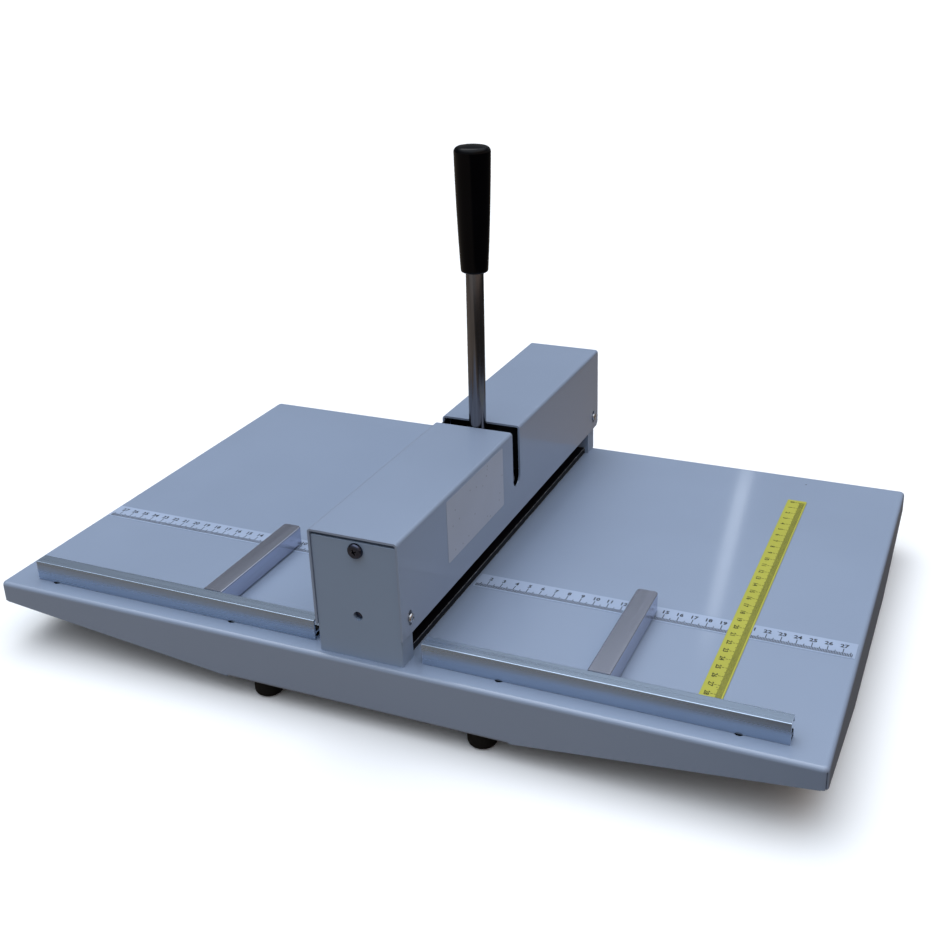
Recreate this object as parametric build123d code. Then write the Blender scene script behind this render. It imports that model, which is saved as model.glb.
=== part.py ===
# Desktop paper creasing machine.
#
# A folded sheet-metal table carries a long housing across its middle. In the housing a lever turns
# a camshaft, whose cams push a beam down on a grooved die. A blade under the beam creases the paper.
# Two bars slide along rails at the front edge as stops for the paper.
#
# Millimetres. x runs across the table from its middle, y from the table's front edge to the back,
# z up from the floor. The finished pieces are moved so that the origin is under the middle.

from build123d import *
from math import asin, cos, pi, radians, sin, tan
import os

# Table
table_width = 600.0
table_depth = 380.0
sheet = 1.5
apron_depth = 36.0
apron_end_depth = 15.0
front_flat_half = 105.0
side_flat_half = 73.0
corner_radius = 4.0
bend_radius = 3.0
corner_slit = 0.8
flange_width = 26.0
flange_leg = 7.0
flange_corner_cut = 9.0
flange_relief = 0.9

# Feet
foot_height = 14.0
foot_radius = 10.0
foot_flat_radius = 5.5
foot_rounding_steps = 3
foot_offset_x = 81.0
foot_inset_y = 14.0
foot_screw_radius = 2.0
foot_head_radius = 3.6
foot_head_height = 2.6
foot_head_recess = 1.0
foot_nut_size = 7.0
foot_nut_height = 3.2

# Bed bar under the table
bed_width = 50.0
bed_height = 20.0
bed_end_gap = 4.0

# End plates
plate_thickness = 15.0
front_plate_inset = 5.5
plate_height = 86.0
plate_chamfer = 0.5
plate_screw_spacing = 36.0
plate_screw_radius = 3.0
plate_screw_depth = 16.0
cap_head_radius = 5.0
cap_head_height = 6.0
cap_head_recess = 0.5
counterbore_gap = 0.5

# Cover
cover_width = 64.0
cover_height = 90.0
cover_skirt_gap = 20.0
cover_sheet = 1.5
cover_bend_radius = 2.5
cover_front_lip = 1.0
cover_rear_overhang = 7.0
cover_corner_radius = 5.0
cover_slot_width = 4.5
cover_slot_height = 11.0
cover_slot_inset = 12.0
cover_slot_rise = 31.5
cover_screw_radius = 2.0
cover_screw_length = 9.0
cover_head_radius = 3.3
cover_head_height = 2.0
lever_slot_width = 14.0
lever_slot_rise = 43.5

# Blocks that carry the cover's top
block_width = 40.0
block_thickness = 12.0
block_height = 24.0
block_screw_rise = 80.0
block_screw_x = 2.0
block_screw_radius = 3.0
block_screw_depth = 9.0
pan_head_radius = 5.3
pan_head_height = 3.0
pan_head_rounding = 2.4

# Die and matrix
die_width = 55.0
die_thickness = 5.0
die_screw_spacing = 36.0
die_screw_radius = 2.5
die_screw_pitch = 110.0
die_screw_count = 3
die_screw_depth = 4.0
die_head_radius = 4.2
die_head_height = 5.0
matrix_width = 16.0
matrix_thickness = 3.0
matrix_pocket_wall = 2.55
groove_width = 1.8
groove_depth = 1.2
groove_bevel = 0.3

# Beam and blade
beam_width = 40.0
beam_height = 9.0
beam_end_gap = 2.0
beam_chamfer = 1.0
blade_end_inset = 2.0
blade_thickness = 2.0
blade_edge = 1.0
blade_seat = 5.0
blade_projection = 3.0
blade_gap = 3.0
blade_entry = 0.5
blade_screw_count = 5
blade_screw_pitch = 62.0
blade_screw_radius = 2.0
blade_screw_length = 10.0
pad_width = 20.0
pad_length = 16.0
pad_thickness = 3.0
pad_proud = 0.6

# Guide pins and return springs
pin_radius = 4.0
pin_inset = 13.0
pin_fit = 0.05
pin_below_beam_top = 0.8
pin_chamfer = 0.8
spring_wire = 1.2
spring_wire_sides = 6
spring_radius = 5.6
spring_turns = 4.5
spring_pocket_radius = 6.7
spring_die_pocket = 3.0
spring_beam_pocket = 4.5

# Camshaft and lever
shaft_rise = 32.0
shaft_radius = 7.0
journal_radius = 6.0
journal_fit = 0.03
journal_chamfer = 0.8
shaft_end_gap = 0.5
shoulder_gap = 0.3
bush_radius = 9.0
bush_flange_radius = 11.0
bush_flange = 1.5
plate_web = 4.0
plate_hole_radius = 3.25
cam_width = 12.0
cam_pitch = 60.0
cam_gap = 0.3
cam_overrun = 10.0
cam_flank_arcs = 4
cam_heel_wall = 5.7
cam_count = 4
set_screw_radius = 2.5
set_screw_length = 5.0
lever_swing = 55.0
lever_lean = 0.9
lever_offset = 1.5
hub_radius = 10.5
hub_length = 26.0
hub_width = 18.0
hub_top = 14.0
hub_chamfer = 1.0
rod_radius = 6.5
rod_spigot_radius = 4.5
rod_spigot_depth = 3.0
grip_rise = 207.0
grip_length = 93.0
grip_base_radius = 9.9
grip_swell = 0.83
grip_top_radius = 13.1
grip_bore_radius = 5.0
grip_bore_depth = 60.0
grip_chamfer = 1.5
grip_side_steps = 5
grip_rim_rounding = 3.0
grip_rim_steps = 3
grip_dome = 2.0

# Rails and stops
rail_depth = 10.0
rail_height = 15.0
rail_wall = 1.5
rail_web = 1.0
rail_web_rise = 4.4
rail_end_inset = 24.5
rail_inner_x = 40.0
rail_front_y = 14.0
rail_slot_height = 5.0
rail_slot_rise = 8.5
rail_edge_radius = 0.5
rail_screw_inset_outer = 23.0
rail_screw_inset_inner = 60.0
rail_screw_shift = -6.8
rail_screw_radius = 1.5
rail_slot_width = 6.0
rail_slot_length = 14.0
rail_slot_front = 1.6
rail_head_radius = 5.0
rail_head_height = 3.0
rail_nut_size = 5.5
rail_nut_height = 2.4
stop_width = 15.0
stop_reach = 130.0
stop_lift = 1.2
stop_gap = 0.3
stop_corner_radius = 3.0
stop_edge_radius = 0.8
left_stop_x = -127.6
right_stop_x = 156.0
slider_fit = 0.3
slider_neck = 12.0
slider_head = 18.0
slider_head_bottom = 5.7
slider_chamfer = 0.8
stop_screw_radius = 1.5
stop_screw_length = 12.0
stop_head_radius = 2.7
stop_head_height = 2.0

# Scales
scale_width = 18.0
scale_thickness = 0.3
scale_middle_y = 125.5
scale_edge_gap = 2.0
rule_width = 15.0
rule_length = 300.0
rule_thickness = 0.8
rule_edge_inset = 78.5
rule_rail_gap = 7.0
rule_corner_radius = 1.0

# Places that follow from the sizes above
table_top = foot_height + apron_depth
table_under = table_top - sheet
front_plate_y = front_plate_inset
front_inner_y = front_plate_y + plate_thickness
rear_inner_y = table_depth - plate_thickness
middle_y = (front_inner_y + rear_inner_y) / 2
cover_front_y = front_plate_y - cover_front_lip
cover_rear_y = table_depth + cover_rear_overhang
lever_y = (cover_front_y + cover_rear_y) / 2 + lever_offset
cover_top = table_top + cover_height
plate_width = cover_width - 2 * cover_sheet
plate_top = table_top + plate_height
shaft_z = table_top + shaft_rise
die_top = table_top + die_thickness
beam_bottom = die_top + blade_gap + blade_projection
beam_top = beam_bottom + beam_height
pad_top = beam_top + pad_proud
cam_base = shaft_z - pad_top - cam_gap
blade_stroke = blade_gap + blade_entry
cam_rate = blade_stroke / radians(lever_swing)
bush_length = plate_thickness - plate_web
pin_span = rear_inner_y - front_inner_y - 2 * pin_inset
matrix_length = pin_span - 2 * (spring_pocket_radius + matrix_pocket_wall)
blade_length = matrix_length - 2 * blade_end_inset
rail_outer_x = table_width / 2 - rail_end_inset
rail_length = rail_outer_x - rail_inner_x
rail_rear_y = rail_front_y + rail_depth
rule_middle_x = table_width / 2 - rule_edge_inset
stop_bottom = table_top + stop_lift
stop_top = table_top + rail_height
overall_depth = cover_rear_y


def box(x_range, y_range, z_range):
    size = [high - low for low, high in (x_range, y_range, z_range)]
    centre = [(low + high) / 2 for low, high in (x_range, y_range, z_range)]
    return Pos(*centre) * Box(*size)


def upright(radius, x, y, z_range):
    low, high = z_range
    return Pos(x, y, (low + high) / 2) * Cylinder(radius, high - low)


def lengthwise(radius, x, z, y_range):
    low, high = y_range
    return Pos(x, (low + high) / 2, z) * Rot(90, 0, 0) * Cylinder(radius, high - low)


def crosswise(radius, y, z, x_range):
    low, high = x_range
    return Pos((low + high) / 2, y, z) * Rot(0, 90, 0) * Cylinder(radius, high - low)


def along_x(points, x_range):
    # Prism on an outline of (y, z) points.
    low, high = x_range
    outline = make_face(Polyline(*[(low, y, z) for y, z in points], close=True))
    return extrude(outline, amount=high - low, dir=(1, 0, 0))


def along_y(points, y_range):
    # Prism on an outline of (x, z) points.
    low, high = y_range
    outline = make_face(Polyline(*[(x, low, z) for x, z in points], close=True))
    return extrude(outline, amount=high - low, dir=(0, 1, 0))


def group(solids):
    return Compound([solid for piece in solids for solid in piece.solids()])


def mirrored_to_rear(shape, y):
    return mirror(shape, about=Plane(origin=(0, y, 0), z_dir=(0, 1, 0)))


def hexagon_nut(size, bore, x, y, z_range):
    low, high = z_range
    across_corners = size / cos(radians(30))
    blank = extrude(Pos(x, y, low) * RegularPolygon(across_corners / 2, 6), amount=high - low)
    return blank - upright(bore, x, y, (low - 1, high + 1))


def foot_places():
    for x in (-foot_offset_x, foot_offset_x):
        for y in (foot_inset_y, table_depth - foot_inset_y):
            yield x, y


def plate_screw_places():
    for x in (-plate_screw_spacing / 2, plate_screw_spacing / 2):
        for y in (front_plate_y + plate_thickness / 2, rear_inner_y + plate_thickness / 2):
            yield x, y


def die_screw_places():
    for x in (-die_screw_spacing / 2, die_screw_spacing / 2):
        for index in range(die_screw_count):
            yield x, middle_y + (index - (die_screw_count - 1) / 2) * die_screw_pitch


def rail_screw_places():
    outer = rail_outer_x - rail_screw_inset_outer
    inner = rail_inner_x + rail_screw_inset_inner
    slot_y = rail_front_y - rail_slot_front + rail_slot_length / 2
    for x in (-outer, -inner, inner, outer):
        yield x + rail_screw_shift, slot_y


def pin_places():
    return [front_inner_y + pin_inset, rear_inner_y - pin_inset]


def cam_places():
    return [middle_y + (index - (cam_count - 1) / 2) * cam_pitch for index in range(cam_count)]


def table_tray():
    blank = Pos(0, table_depth / 2, foot_height) * RectangleRounded(table_width, table_depth, corner_radius)
    tray = extrude(blank, amount=apron_depth)
    tray = fillet(tray.faces().sort_by(Axis.Z)[-1].edges(), bend_radius)
    inside = Pos(0, table_depth / 2, foot_height) * RectangleRounded(
        table_width - 2 * sheet, table_depth - 2 * sheet, corner_radius - sheet
    )
    hollow = extrude(inside, amount=apron_depth - sheet)
    tray -= fillet(hollow.faces().sort_by(Axis.Z)[-1].edges(), bend_radius - sheet)

    # The aprons are deepest in the middle of each side and taper to the corners.
    low = foot_height
    end_low = table_top - apron_end_depth
    half_width = table_width / 2
    half_depth = table_depth / 2
    for side in (-1, 1):
        wedge = [(front_flat_half, low + flange_relief), (half_width, end_low), (half_width + 1, end_low)]
        wedge += [(half_width + 1, low - 1), (front_flat_half, low - 1)]
        wedge = [(side * x, z) for x, z in wedge]
        tray -= along_y(wedge, (-1, corner_radius))
        tray -= along_y(wedge, (table_depth - corner_radius, table_depth + 1))
        wedge = [(side_flat_half, low), (half_depth, end_low), (half_depth + 1, end_low)]
        wedge += [(half_depth + 1, low - 1), (side_flat_half, low - 1)]
        wedge = [(half_depth + side * y, z) for y, z in wedge]
        tray -= along_x(wedge, (half_width - corner_radius, half_width + 1))
        tray -= along_x(wedge, (-half_width - 1, corner_radius - half_width))

    # The front and rear aprons turn inwards at the bottom to carry the feet.
    leg_top = low + flange_leg
    flat = (-front_flat_half, front_flat_half)
    lip = Rectangle(flange_width, flange_leg, align=Align.MIN)
    lip -= Pos(sheet, sheet) * Rectangle(flange_width, flange_leg, align=Align.MIN)
    lip = fillet(lip.vertices().sort_by(lambda v: v.X + v.Y)[0], bend_radius)
    inner_corner = lip.vertices().sort_by(lambda v: abs(v.X - sheet) + abs(v.Y - sheet))[0]
    lip = fillet(inner_corner, bend_radius - sheet)
    section = Plane(origin=(flat[0], 0, low), x_dir=(0, 1, 0), z_dir=(1, 0, 0)) * lip
    flange = extrude(section, amount=flat[1] - flat[0], dir=(1, 0, 0))
    free_corners = flange.edges().filter_by(Axis.Z).group_by(Axis.Y)[-1]
    flange = chamfer(free_corners, flange_corner_cut)
    tray -= box(flat, (-1, corner_radius), (low - 1, leg_top))
    tray -= box(flat, (table_depth - corner_radius, table_depth + 1), (low - 1, leg_top))
    tray += flange
    tray += mirrored_to_rear(flange, half_depth)

    # Open seams of the folded corners.
    for x in (-half_width, half_width):
        for y in (0, table_depth):
            turn = 45 if (x > 0) == (y > 0) else -45
            slit = Box(3 * corner_radius, corner_slit, apron_end_depth)
            tray -= Pos(x, y, table_top - bend_radius - apron_end_depth / 2) * Rot(0, 0, turn) * slit

    for x, y in foot_places():
        tray -= upright(foot_screw_radius, x, y, (low - 1, low + sheet + 1))
    for x, y in plate_screw_places():
        tray -= upright(plate_screw_radius, x, y, (table_under - 1, table_top + 1))
    for x, y in die_screw_places():
        tray -= upright(die_screw_radius, x, y, (table_under - 1, table_top + 1))
    for x, y in rail_screw_places():
        slot = Pos(x, y, table_under - 1) * Rot(0, 0, 90) * SlotOverall(rail_slot_length, rail_slot_width)
        tray -= extrude(slot, amount=sheet + 2)
    return tray


def foot(x, y):
    # Turned profile: straight wall, wide shoulder of a few cones and a flat to stand on.
    head_top = foot_head_recess + foot_head_height
    rounding = foot_radius - foot_flat_radius
    outline = [(foot_screw_radius, foot_height), (foot_radius, foot_height)]
    for step in range(foot_rounding_steps + 1):
        angle = radians(90 * step / foot_rounding_steps)
        outline.append((foot_flat_radius + rounding * cos(angle), rounding - rounding * sin(angle)))
    outline += [(foot_head_radius, 0), (foot_head_radius, head_top), (foot_screw_radius, head_top)]
    return Pos(x, y, 0) * revolve(Plane.XZ * make_face(Polyline(*outline, close=True)), Axis.Z)


def foot_screws():
    head_top = foot_head_recess + foot_head_height
    screws = []
    for x, y in foot_places():
        head = upright(foot_head_radius, x, y, (foot_head_recess, head_top))
        shank = upright(foot_screw_radius, x, y, (head_top, foot_height + sheet + foot_nut_height))
        screws.append(head + shank)
    return group(screws)


def foot_nuts():
    low = foot_height + sheet
    nuts = [
        hexagon_nut(foot_nut_size, foot_screw_radius, x, y, (low, low + foot_nut_height))
        for x, y in foot_places()
    ]
    return group(nuts)


def bed_bar():
    bar = box(
        (-bed_width / 2, bed_width / 2),
        (bed_end_gap, table_depth - bed_end_gap),
        (table_under - bed_height, table_under),
    )
    low = table_under - bed_height
    for x, y in plate_screw_places():
        bar -= upright(plate_screw_radius, x, y, (low - 1, table_under + 1))
        depth = cap_head_height + cap_head_recess
        bar -= upright(cap_head_radius + counterbore_gap, x, y, (low - 1, low + depth))
    for x, y in die_screw_places():
        bar -= upright(die_screw_radius, x, y, (low - 1, table_under + 1))
        depth = die_head_height + cap_head_recess
        bar -= upright(die_head_radius + counterbore_gap, x, y, (low - 1, low + depth))
    return bar


def cap_screws(places, shank_radius, head_radius, head_height, tip):
    # Socket-head screws that go up from the bed bar's counterbores.
    screws = []
    seat = table_under - bed_height + head_height + cap_head_recess
    for x, y in places:
        head = upright(head_radius, x, y, (seat - head_height, seat))
        socket = extrude(
            Pos(x, y, seat - head_height) * RegularPolygon(head_radius / 2, 6), amount=head_height / 2
        )
        screws.append(head - socket + upright(shank_radius, x, y, (seat, tip)))
    return group(screws)


def end_plate(cover_screw_y):
    # The front one; the rear one is its mirror image.
    half = plate_width / 2
    plate = box((-half, half), (front_plate_y, front_inner_y), (table_top, plate_top))
    outer_edges = plate.faces().sort_by(Axis.Y)[0].edges()
    plate = chamfer(outer_edges.sort_by(Axis.Z)[1:], plate_chamfer)
    plate -= lengthwise(bush_radius, 0, shaft_z, (front_inner_y - bush_length, front_inner_y + 1))
    plate -= lengthwise(plate_hole_radius, 0, shaft_z, (front_plate_y - 1, front_inner_y))
    block_screw_ends = (front_plate_y - 1, front_inner_y + 1)
    plate -= lengthwise(block_screw_radius, block_screw_x, table_top + block_screw_rise, block_screw_ends)
    middle = front_plate_y + plate_thickness / 2
    for x in (-plate_screw_spacing / 2, plate_screw_spacing / 2):
        plate -= upright(plate_screw_radius, x, middle, (table_top - 1, table_top + plate_screw_depth))
    tapped = half + cover_sheet - cover_screw_length
    for ends in ((-half - 1, -tapped), (tapped, half + 1)):
        plate -= crosswise(cover_screw_radius, cover_screw_y, table_top + cover_slot_rise, ends)
    return plate


def rear_end_plate():
    # The cover stands out further at the rear, so its screws sit nearer this plate's outer face.
    front_copy = 2 * middle_y - cover_screw_places()[1]
    return mirrored_to_rear(end_plate(front_copy), middle_y)


def cover_screw_places():
    return [cover_front_y + cover_slot_inset, cover_rear_y - cover_slot_inset]


def housing_cover():
    bottom = table_top + cover_skirt_gap
    half = cover_width / 2
    outer = box((-half, half), (cover_front_y, cover_rear_y), (bottom, cover_top))
    top_edges = outer.edges().filter_by(Axis.Y).group_by(Axis.Z)[-1]
    outer = fillet(top_edges, cover_bend_radius)
    inner_half = half - cover_sheet
    through = (cover_front_y - 1, cover_rear_y + 1)
    inner = box((-inner_half, inner_half), through, (bottom - 1, cover_top - cover_sheet))
    inner_edges = inner.edges().filter_by(Axis.Y).group_by(Axis.Z)[-1]
    cover = outer - fillet(inner_edges, cover_bend_radius - cover_sheet)
    rear_corners = cover.edges().filter_by(Axis.X).group_by(Axis.Z)[0].group_by(Axis.Y)[-1]
    cover = fillet(rear_corners, cover_corner_radius)

    # The lever's slot crosses the top and runs down both sides to a round end.
    end_z = table_top + lever_slot_rise + lever_slot_width / 2
    slot = (lever_y - lever_slot_width / 2, lever_y + lever_slot_width / 2)
    cover -= box((-half - 1, half + 1), slot, (end_z, cover_top + 1))
    cover -= crosswise(lever_slot_width / 2, lever_y, end_z, (-half - 1, half + 1))

    # Upright slots let the cover be set level before its screws are tightened.
    for y in cover_screw_places():
        plane = Plane(origin=(-half - 1, y, table_top + cover_slot_rise), x_dir=(0, 0, 1), z_dir=(1, 0, 0))
        cover -= extrude(plane * SlotOverall(cover_slot_height, cover_slot_width), amount=cover_width + 2)
    return cover


def cover_screws():
    half = cover_width / 2
    z = table_top + cover_slot_rise
    screws = []
    for y in cover_screw_places():
        for side in (-1, 1):
            head = crosswise(cover_head_radius, y, z, (half, half + cover_head_height))
            rim = head.faces().sort_by(Axis.X)[-1].edges()
            head = chamfer(rim, cover_head_height / 2)
            screw = head + crosswise(cover_screw_radius, y, z, (half - cover_screw_length, half))
            screws.append(screw if side > 0 else mirror(screw, about=Plane.YZ))
    return group(screws)


def cover_block():
    half = block_width / 2
    top = cover_top - cover_sheet
    block = box((-half, half), (front_inner_y, front_inner_y + block_thickness), (top - block_height, top))
    z = table_top + block_screw_rise
    ends = (front_inner_y - 1, front_inner_y + block_screw_depth)
    block -= lengthwise(block_screw_radius, block_screw_x, z, ends)
    return block


def block_screws():
    z = table_top + block_screw_rise
    x = block_screw_x
    head = lengthwise(pan_head_radius, x, z, (front_plate_y - pan_head_height, front_plate_y))
    head = fillet(head.faces().sort_by(Axis.Y)[0].edges(), pan_head_rounding)
    shank = lengthwise(block_screw_radius, x, z, (front_plate_y, front_inner_y + block_screw_depth))
    front = head + shank
    return group([front, mirrored_to_rear(front, middle_y)])


def lower_die():
    die = box((-die_width / 2, die_width / 2), (front_inner_y, rear_inner_y), (table_top, die_top))
    seat = (middle_y - matrix_length / 2, middle_y + matrix_length / 2)
    die -= box((-matrix_width / 2, matrix_width / 2), seat, (die_top - matrix_thickness, die_top + 1))
    for y in pin_places():
        die -= upright(spring_pocket_radius, 0, y, (die_top - spring_die_pocket, die_top + 1))
        die -= upright(pin_radius, 0, y, (table_top - 1, die_top))
    for x, y in die_screw_places():
        die -= upright(die_screw_radius, x, y, (table_top - 1, table_top + die_screw_depth))
    return die


def crease_matrix():
    seat = (middle_y - matrix_length / 2, middle_y + matrix_length / 2)
    strip = box((-matrix_width / 2, matrix_width / 2), seat, (die_top - matrix_thickness, die_top))
    half = groove_width / 2
    bottom = die_top - groove_depth
    wide = half + groove_bevel
    groove = [(-wide, die_top), (-half, die_top - groove_bevel), (-half, bottom)]
    groove += [(half, bottom), (half, die_top - groove_bevel), (wide, die_top)]
    return strip - along_y(groove, (seat[0] - 1, seat[1] + 1))


def guide_pin(y):
    top = beam_top - pin_below_beam_top
    pin = upright(pin_radius, 0, y, (table_top, top))
    return chamfer(pin.faces().sort_by(Axis.Z)[-1].edges(), pin_chamfer)


def arc_middle(start, direction, finish):
    # Middle of the circular arc that leaves start along direction and ends at finish.
    chord = finish - start
    across = chord.normalized()
    side = direction - across * direction.dot(across)
    turn = radians(direction.get_angle(chord))
    bulge = chord.length / 2 * tan(turn / 2)
    return start + chord / 2 + side.normalized() * bulge


def biarc(start, leaving, finish, arriving):
    # Two arcs that join tangentially.
    span = finish - start
    reach = span.dot(leaving + arriving)
    slack = 2 * (1 - leaving.dot(arriving))
    length = ((reach**2 + slack * span.dot(span)) ** 0.5 - reach) / slack
    joint = (start + leaving * length + finish - arriving * length) / 2
    first = ThreePointArc(start, arc_middle(start, leaving, joint), joint)
    second = ThreePointArc(joint, arc_middle(finish, arriving * -1, joint), finish)
    return [first, second]


def return_spring(y):
    # A helix of half turns between the die's pocket and the beam's.
    low = die_top - spring_die_pocket + spring_wire / 2
    high = beam_bottom + spring_beam_pocket - spring_wire / 2
    half_turns = round(2 * spring_turns)
    rise = (high - low) / (half_turns * pi)
    knots = []
    for index in range(half_turns + 1):
        angle = index * pi
        point = Vector(spring_radius * cos(angle), y + spring_radius * sin(angle), low + rise * angle)
        tangent = Vector(-spring_radius * sin(angle), spring_radius * cos(angle), rise)
        knots.append((point, tangent.normalized()))
    arcs = []
    for (start, leaving), (finish, arriving) in zip(knots, knots[1:]):
        arcs += biarc(start, leaving, finish, arriving)
    wire = RegularPolygon(spring_wire / 2, spring_wire_sides)
    section = Plane(origin=knots[0][0], z_dir=knots[0][1]) * wire
    print("return spring, gap between turns", round(2 * pi * rise - spring_wire, 2))
    return sweep(section, path=Wire(arcs))


def press_beam():
    half = beam_width / 2
    ends = (front_inner_y + beam_end_gap, rear_inner_y - beam_end_gap)
    beam = box((-half, half), ends, (beam_bottom, beam_top))
    beam = chamfer(beam.edges().filter_by(Axis.Y).group_by(Axis.Z)[0], beam_chamfer)
    seat = (middle_y - blade_length / 2, middle_y + blade_length / 2)
    side = blade_thickness / 2
    beam -= box((-side, side), seat, (beam_bottom - 1, beam_bottom + blade_seat))
    for y in blade_screw_places():
        beam -= crosswise(blade_screw_radius, y, blade_screw_z(), (blade_thickness / 2, half + 1))
    for y in pin_places():
        beam -= upright(pin_radius + pin_fit, 0, y, (beam_bottom - 1, beam_top + 1))
        beam -= upright(spring_pocket_radius, 0, y, (beam_bottom - 1, beam_bottom + spring_beam_pocket))
    for y in cam_places():
        beam -= pad_blank(y)
    return beam


def blade_screw_places():
    first = middle_y - (blade_screw_count - 1) / 2 * blade_screw_pitch
    return [first + index * blade_screw_pitch for index in range(blade_screw_count)]


def blade_screw_z():
    return beam_bottom + blade_seat / 2


def blade_screws():
    ends = (blade_thickness / 2, blade_thickness / 2 + blade_screw_length)
    return group([crosswise(blade_screw_radius, y, blade_screw_z(), ends) for y in blade_screw_places()])


def creasing_blade():
    half = blade_thickness / 2
    edge = blade_edge / 2
    tip = beam_bottom - blade_projection
    outline = [(-half, beam_bottom + blade_seat), (-half, tip + 2 * edge), (-edge, tip)]
    outline += [(edge, tip), (half, tip + 2 * edge), (half, beam_bottom + blade_seat)]
    return along_y(outline, (middle_y - blade_length / 2, middle_y + blade_length / 2))


def pad_blank(y):
    half = pad_width / 2
    ends = (y - pad_length / 2, y + pad_length / 2)
    return box((-half, half), ends, (pad_top - pad_thickness, pad_top))


def cam_pad(y):
    pad = pad_blank(y)
    return chamfer(pad.faces().sort_by(Axis.Z)[-1].edges(), pad_proud / 2)


def camshaft():
    shaft = lengthwise(shaft_radius, 0, shaft_z, shaft_ends())
    journal_reach = bush_length - shaft_end_gap
    journals = (front_inner_y - journal_reach, rear_inner_y + journal_reach)
    shaft += lengthwise(journal_radius, 0, shaft_z, journals)
    shaft = chamfer(shaft.edges().group_by(Axis.Y)[0] + shaft.edges().group_by(Axis.Y)[-1], journal_chamfer)
    socket = upright(rod_spigot_radius, 0, lever_y, (shaft_z - rod_spigot_depth, shaft_z + shaft_radius + 1))
    return shaft - leaned(socket)


def shaft_ends():
    gap = bush_flange + shoulder_gap
    return (front_inner_y + gap, rear_inner_y - gap)


def bearing_bush():
    bush = lengthwise(bush_radius, 0, shaft_z, (front_inner_y - bush_length, front_inner_y))
    bush += lengthwise(bush_flange_radius, 0, shaft_z, (front_inner_y, front_inner_y + bush_flange))
    bore = (front_inner_y - bush_length - 1, front_inner_y + bush_flange + 1)
    return bush - lengthwise(journal_radius + journal_fit, 0, shaft_z, bore)


def cam_point(degrees):
    # The flat pad is pushed down evenly with the angle, so the flank is an involute of a circle.
    angle = radians(degrees)
    reach = cam_base + cam_rate * angle
    x = reach * sin(angle) + cam_rate * cos(angle)
    z = cam_rate * sin(angle) - reach * cos(angle)
    return x, z


def cam(y):
    step = (lever_swing + 2 * cam_overrun) / cam_flank_arcs
    starts = [index * step - cam_overrun for index in range(cam_flank_arcs)]
    flank = [ThreePointArc(cam_point(a), cam_point(a + step / 2), cam_point(a + step)) for a in starts]
    heel_reach = (shaft_radius + cam_heel_wall) * cos(radians(45))
    heel = ThreePointArc(flank[-1] @ 1, (-heel_reach, heel_reach), flank[0] @ 0)
    disc = extrude(Plane.XZ * make_face(flank + [heel]), amount=cam_width / 2, both=True)
    disc = Pos(0, y, shaft_z) * disc
    disc -= lengthwise(shaft_radius, 0, shaft_z, (y - cam_width, y + cam_width))
    return disc - upright(set_screw_radius, 0, y, (shaft_z, shaft_z + 4 * shaft_radius))


def shaft_set_screws():
    low = shaft_z + shaft_radius
    screws = [upright(set_screw_radius, 0, y, (low, low + set_screw_length)) for y in cam_places()]
    ends = (-shaft_radius - set_screw_length / 2, -shaft_radius)
    for y in hub_screw_places():
        screws.append(leaned(crosswise(set_screw_radius, y, shaft_z, ends)))
    return group(screws)


def hub_screw_places():
    offset = (hub_length + 2 * rod_spigot_radius) / 4
    return [lever_y - offset, lever_y + offset]


def leaned(shape):
    # At rest the lever stands a little to the right of upright.
    return Pos(0, 0, shaft_z) * Rot(0, lever_lean, 0) * Pos(0, 0, -shaft_z) * shape


def lever_hub():
    ends = (lever_y - hub_length / 2, lever_y + hub_length / 2)
    hub = lengthwise(hub_radius, 0, shaft_z, ends)
    hub += box((-hub_width / 2, hub_width / 2), ends, (shaft_z, shaft_z + hub_top))
    hub = chamfer(hub.faces().sort_by(Axis.Z)[-1].edges(), hub_chamfer)
    hub -= lengthwise(shaft_radius, 0, shaft_z, (ends[0] - 1, ends[1] + 1))
    hub -= upright(rod_spigot_radius, 0, lever_y, (shaft_z, shaft_z + hub_top + 1))
    for y in hub_screw_places():
        hub -= crosswise(set_screw_radius, y, shaft_z, (-hub_radius - 1, 0))
    return hub


def lever_rod():
    shoulder = shaft_z + hub_top
    grip_bottom = table_top + grip_rise
    rod = upright(rod_radius, 0, lever_y, (shoulder, grip_bottom))
    rod += upright(rod_spigot_radius, 0, lever_y, (shaft_z - rod_spigot_depth, shoulder))
    return rod + upright(grip_bore_radius, 0, lever_y, (grip_bottom, grip_bottom + grip_bore_depth))


def lever_grip():
    # Half profile from the bottom chamfer up the swelling side, round the rim and over the dome.
    crown_z = grip_length - grip_dome
    rim_z = crown_z - grip_rim_rounding
    crown_radius = grip_top_radius - grip_rim_rounding
    outline = [(0, 0), (grip_base_radius - grip_chamfer, 0)]
    for step in range(grip_side_steps + 1):
        share = step / grip_side_steps
        radius = grip_base_radius + (grip_top_radius - grip_base_radius) * share
        radius += 4 * grip_swell * share * (1 - share)
        outline.append((radius, grip_chamfer + (rim_z - grip_chamfer) * share))
    for step in range(1, grip_rim_steps + 1):
        angle = radians(90 * step / grip_rim_steps)
        radius = crown_radius + grip_rim_rounding * cos(angle)
        outline.append((radius, rim_z + grip_rim_rounding * sin(angle)))
    dome_radius = (crown_radius**2 + grip_dome**2) / (2 * grip_dome)
    half_angle = asin(crown_radius / dome_radius) / 2
    dome_middle = (dome_radius * sin(half_angle), grip_length - dome_radius * (1 - cos(half_angle)))
    profile = Polyline(*outline) + ThreePointArc(outline[-1], dome_middle, (0, grip_length))
    profile += Line((0, grip_length), (0, 0))
    grip = revolve(Plane.XZ * make_face(profile), Axis.Z)
    grip -= upright(grip_bore_radius, 0, 0, (-1, grip_bore_depth))
    return Pos(0, lever_y, table_top + grip_rise) * grip


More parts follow.
